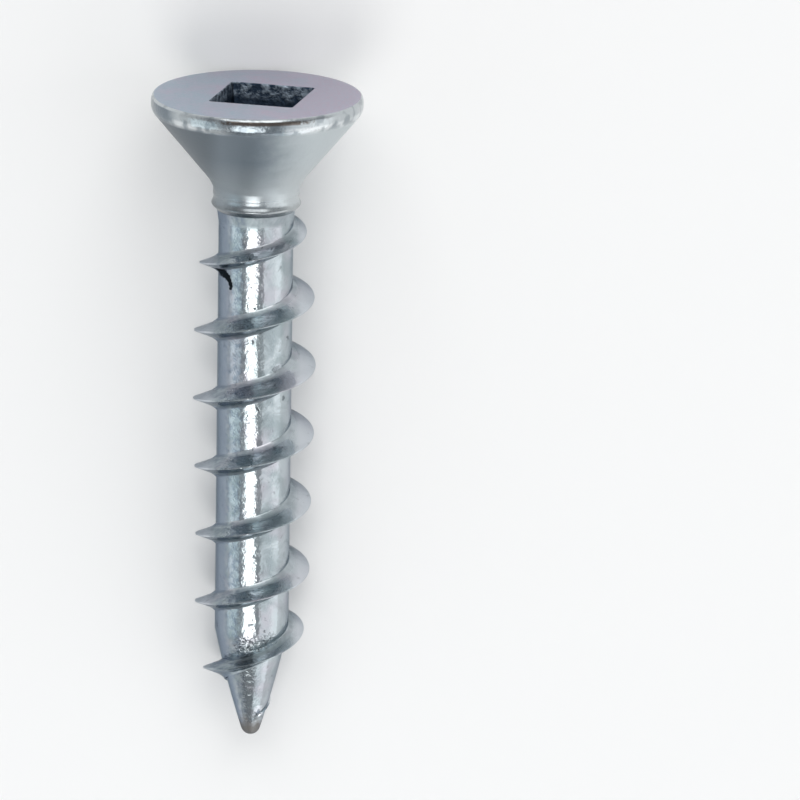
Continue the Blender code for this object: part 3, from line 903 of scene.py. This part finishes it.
def burnished_rim(colours):
    """Zinc on the head's rim, which the header hammered and the barrel burnished: bright, dented in small
    facets, with a brown streak where the plating is thin. Its colour carries painted light on the top edge,
    the sides and the lower edge, and painted shade where the dents sink in. It turns into the cone's satin,
    with its painted light and shade, lower down."""
    material, add = new_material("burnished_zinc_plate_on_hammered_rim")
    where, x, z = screw_space(add)
    # Dents of about 0.4 mm, with a grain of 0.1 mm in them. The dents make the bands' edges wavy.
    dents = add(NOISE, {"Scale": 2.2, "Detail": 2.0, "Roughness": 0.5}, {"Vector": where})
    grain = add(NOISE, {"Scale": 9.0, "Detail": 3.0}, {"Vector": where})
    height = add(MATH, {"operation": "MULTIPLY_ADD", 1: 0.06}, {0: dents, 2: z})

    # Painted light along the top edge and to both sides, but not at the far left, which stays darker.
    away = add(MATH, {"operation": "ABSOLUTE"}, {0: x})
    sides = add(RAMP, {"From Min": 0.8, "From Max": 1.5}, {"Value": away})
    end = add(RAMP, {"From Min": -2.95, "From Max": -2.55}, {"Value": x})
    sides = add(MATH, {"operation": "MULTIPLY"}, {0: sides, 1: end})
    top = add(RAMP, {"From Min": -0.07, "From Max": -0.04}, {"Value": height})
    # A painted highlight, the lightest of all, on the lower edge, where the dents let it show.
    below = add(RAMP, {"From Min": -0.27, "From Max": -0.34}, {"Value": height})
    broken = add(RAMP, {"From Min": 0.40, "From Max": 0.56}, {"Value": dents})
    below = add(MATH, {"operation": "MULTIPLY"}, {0: below, 1: broken})
    below = add(MATH, {"operation": "MULTIPLY"}, {0: below, 1: sides})
    # Painted shade where the dents sink in, between the hammered facets.
    shaded_hollows = add(RAMP, {"From Min": 0.48, "From Max": 0.38, "To Max": 0.5}, {"Value": dents})
    # The brown streak is a ragged band in front, just under the top edge.
    low = add(RAMP, {"From Min": -0.20, "From Max": -0.15}, {"Value": height})
    high = add(RAMP, {"From Min": -0.045, "From Max": -0.075}, {"Value": height})
    streak = add(MATH, {"operation": "MULTIPLY"}, {0: low, 1: high})
    ragged = blotches(add, where, grain, STREAK_PLACE)
    streak = add(MATH, {"operation": "MULTIPLY"}, {0: streak, 1: ragged})
    lower = add(RAMP, {"From Min": -0.44, "From Max": -0.60}, {"Value": height})
    metal = layered(
        add,
        colours.cone_dull,
        [
            (colours.rim, end),
            (colours.rim_painted_light, strongest(add, [sides, top])),
            (colours.rim_edge_highlight, below),
            (colours.cone_dull, shaded_hollows),
            (colours.rim_streak, streak),
            (cone_tone(add, colours, where, x, z), lower),
        ],
    )
    rough = add(RAMP, {"To Min": 0.13, "To Max": 0.30}, {"Value": grain})
    rough = add(MATH, {"operation": "MULTIPLY_ADD", 1: 0.12}, {0: lower, 2: rough})
    waves = add(MATH, {"operation": "MULTIPLY_ADD", 1: 0.2}, {0: grain, 2: dents})
    zinc_shader(add, metal, rough, waves, 0.024 * MM)
    return material


def struck_face(colours):
    """Matt zinc on the face that the punch struck: a fine dead grain that mirrors nothing, mottled from a
    violet grey to a greener grey on the left."""
    material, add = new_material("matt_zinc_plate_on_struck_face")
    where, x, _ = screw_space(add)
    # The plating's own grain is far finer than the 0.12 mm at which it is drawn so that it shows.
    grain = add(NOISE, {"Scale": 8.0, "Detail": 4.0, "Roughness": 0.65}, {"Vector": where})
    cloud = add(NOISE, {"Scale": 0.8, "Detail": 5.0, "Roughness": 0.6}, {"Vector": where})
    side = add(MATH, {"operation": "MULTIPLY_ADD", 1: 0.06}, {0: x, 2: cloud})
    warm = add(RAMP, {"From Min": 0.32, "From Max": 0.58}, {"Value": side})
    mottle = add(RAMP, {"From Min": 0.36, "From Max": 0.60, "To Max": 0.8}, {"Value": grain})
    metal = layered(add, colours.face_cool, [(colours.face_warm, warm), (colours.face, mottle)])
    rough = add(RAMP, {"To Min": 0.42, "To Max": 0.58}, {"Value": grain})
    zinc_shader(add, metal, rough, grain, 0.012 * MM)
    return material


def punched_socket(colours):
    """Zinc in the socket, painted dark for the shade in its recess, with the punch's scores running round the
    walls and lighter torn spots near the mouth, which fade deeper down as painted shade."""
    material, add = new_material("zinc_plate_in_punched_socket_with_painted_shade")
    where, _, z = screw_space(add)
    # Scores of about 0.27 mm along the walls and 0.21 mm across them, with a grain of 0.15 mm.
    drawn_out = add("ShaderNodeMapping", {"Scale": (2.6, 2.6, 3.4)}, {"Vector": where})
    scores = add(NOISE, {"Scale": 1.4, "Detail": 5.0, "Roughness": 0.65}, {"Vector": drawn_out})
    grain = add(NOISE, {"Scale": 6.0, "Detail": 3.0}, {"Vector": where})
    bright = add(RAMP, {"From Min": 0.43, "From Max": 0.68}, {"Value": scores})
    # Painted light near the mouth: the torn spots fade away deeper down, as painted shade.
    mouth = add(RAMP, {"From Min": -0.56, "From Max": -0.30, "To Min": 0.08}, {"Value": z})
    torn = add(MATH, {"operation": "MULTIPLY"}, {0: bright, 1: mouth})
    metal = layered(add, colours.socket, [(colours.socket_torn_and_lit, torn)])
    rough = add(RAMP, {"To Min": 0.30, "To Max": 0.55}, {"Value": grain})
    zinc_shader(add, metal, rough, scores, 0.05 * MM)
    return material


class SCREW_OT_set_stage(Operator):
    """Set the stage: pale round floor with its backdrop, room light, lamps and camera"""

    bl_idname = "particle_screw.set_stage"
    bl_label = "Set stage"

    def execute(self, context):
        scene, stage = context.scene, context.scene.screw_stage
        deselect_all()
        inner, curve = stage.floor_radius, stage.wall_curve
        bpy.ops.mesh.primitive_circle_add(vertices=96, radius=inner, fill_type="NGON", location=(0, 0, 0))
        floor = context.object
        floor.name = floor.data.name = "floor_and_backdrop"
        bpy.ops.object.mode_set(mode="EDIT")
        bpy.ops.mesh.select_mode(type="EDGE")
        bpy.ops.mesh.select_all(action="SELECT")
        bpy.ops.mesh.region_to_loop()
        # The backdrop curves up all round, ten degrees at a time.
        radius, height = inner, 0.0
        for turn in range(10, 91, 10):
            across = inner + curve * math.sin(math.radians(turn))
            up = curve * (1 - math.cos(math.radians(turn)))
            bpy.ops.mesh.extrude_edges_move(TRANSFORM_OT_translate={"value": (0, 0, up - height)})
            share = across / radius
            bpy.ops.transform.resize(value=(share, share, 1.0), center_override=(0.0, 0.0, up))
            radius, height = across, up
        bpy.ops.mesh.select_all(action="SELECT")
        bpy.ops.mesh.normals_make_consistent(inside=True)
        bpy.ops.mesh.select_mode(type="VERT")
        bpy.ops.object.mode_set(mode="OBJECT")
        bpy.ops.object.shade_smooth_by_angle(angle=SMOOTH_ANGLE)
        material, add = new_material("matt_white_paper")
        matt = {"Base Color": rgba(stage.floor_colour), "Roughness": 0.9}
        paper = add("ShaderNodeBsdfPrincipled", matt)
        add("ShaderNodeOutputMaterial", None, {"Surface": paper})
        floor.data.materials.append(material)

        world = bpy.data.worlds.new("studio")
        world.use_nodes = True
        scene.world = world
        background = world.node_tree.nodes["Background"]
        background.inputs["Color"].default_value = rgba(stage.sky_colour)
        background.inputs["Strength"].default_value = 1.0

        low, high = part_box(SCREW_NODE)
        for name, around, tipward, distance, size, setting, light in LAMPS:
            deselect_all()
            away, along = lamp_direction(math.radians(around), math.radians(tipward))
            bpy.ops.object.light_add(type="AREA", location=(low + high) / 2 + away * distance)
            lamp = context.object
            lamp.name = lamp.data.name = name
            lamp.rotation_euler = Matrix((along.cross(away), along, away)).transposed().to_euler()
            lamp.data.shape = "RECTANGLE"
            lamp.data.size, lamp.data.size_y = size
            lamp.data.energy = math.pi * size[0] * size[1] * getattr(stage, setting)
            lamp.data.color = light
            lamp.visible_camera = False
        place_camera(scene, stage)
        scene.view_settings.view_transform = "Standard"
        return {"FINISHED"}


def screw_directions():
    """Directions as the screw lies: along its axis towards the head, and square over it."""
    axis = Vector((0.0, math.cos(REST_TILT), math.sin(REST_TILT)))
    over = Vector((0.0, -math.sin(REST_TILT), math.cos(REST_TILT)))
    return axis, over


def lamp_direction(around, tipward):
    """The way from the screw to a lamp, and the direction square to it that runs along the screw."""
    axis, over = screw_directions()
    side = Vector((1.0, 0.0, 0.0))
    away = math.cos(tipward) * (math.sin(around) * side + math.cos(around) * over) - math.sin(tipward) * axis
    return away, (axis - axis.dot(away) * away).normalized()


def place_camera(scene, stage):
    """The camera looks down on the lying screw, leaning towards its head."""
    axis, over = screw_directions()
    middle = head_centre() - axis * scene.screw_shank.length / 2
    back = over * math.cos(stage.view_lean) + axis * math.sin(stage.view_lean)
    place = middle + back * stage.distance
    up = axis * math.cos(stage.view_lean) - over * math.sin(stage.view_lean)
    forward = Matrix.Rotation(-stage.aim_right, 3, up) @ -back
    right = forward.cross(up).normalized()
    forward = Matrix.Rotation(stage.aim_up, 3, right) @ forward
    up = right.cross(forward).normalized()
    turn = Matrix.Rotation(-stage.roll, 3, forward)
    right, up = turn @ right, turn @ up
    deselect_all()
    bpy.ops.object.camera_add(location=place)
    camera = bpy.context.object
    camera.rotation_euler = Matrix((right, up, -forward)).transposed().to_euler()
    camera.data.sensor_width = 36.0
    camera.data.lens = stage.focal / MM
    camera.data.clip_start = 0.01
    scene.camera = camera


class SCREW_PT_panel(Panel):
    """Lists the steps that model the screw"""

    bl_idname = "SCREW_PT_panel"
    bl_label = "Particle board screw"
    bl_space_type = "VIEW_3D"
    bl_region_type = "UI"
    bl_category = "Screw"

    def draw(self, context):
        for step in STEPS:
            self.layout.operator(step.bl_idname)
        for group in GROUPS:
            box = self.layout.box()
            box.label(text=group)
            for name in getattr(context.scene, group).bl_rna.properties.keys():
                if name not in ("rna_type", "name"):
                    box.prop(getattr(context.scene, group), name)


GROUPS = {
    "screw_head": HeadSizes,
    "screw_shank": ShankSizes,
    "screw_socket": SocketSizes,
    "zinc_colours": ZincColours,
    "screw_stage": StageSettings,
}
STEPS = (
    SCREW_OT_turn_head,
    SCREW_OT_roll_shank,
    SCREW_OT_punch_socket,
    SCREW_OT_join_screw,
    SCREW_OT_set_stage,
)


def register():
    """Make the operators, the panel and the settings known to Blender."""
    for each in (*GROUPS.values(), *STEPS, SCREW_PT_panel):
        bpy.utils.register_class(each)
    for name, group in GROUPS.items():
        setattr(bpy.types.Scene, name, PointerProperty(type=group))


def unregister():
    """Take them away again."""
    for name in GROUPS:
        delattr(bpy.types.Scene, name)
    for each in (SCREW_PT_panel, *reversed(STEPS), *reversed(GROUPS.values())):
        bpy.utils.unregister_class(each)


def main():
    """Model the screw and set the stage."""
    register()
    bpy.ops.particle_screw.turn_head()
    bpy.ops.particle_screw.roll_shank()
    bpy.ops.particle_screw.punch_socket()
    bpy.ops.particle_screw.join_screw()
    bpy.ops.particle_screw.set_stage()


if __name__ == "__main__":
    main()
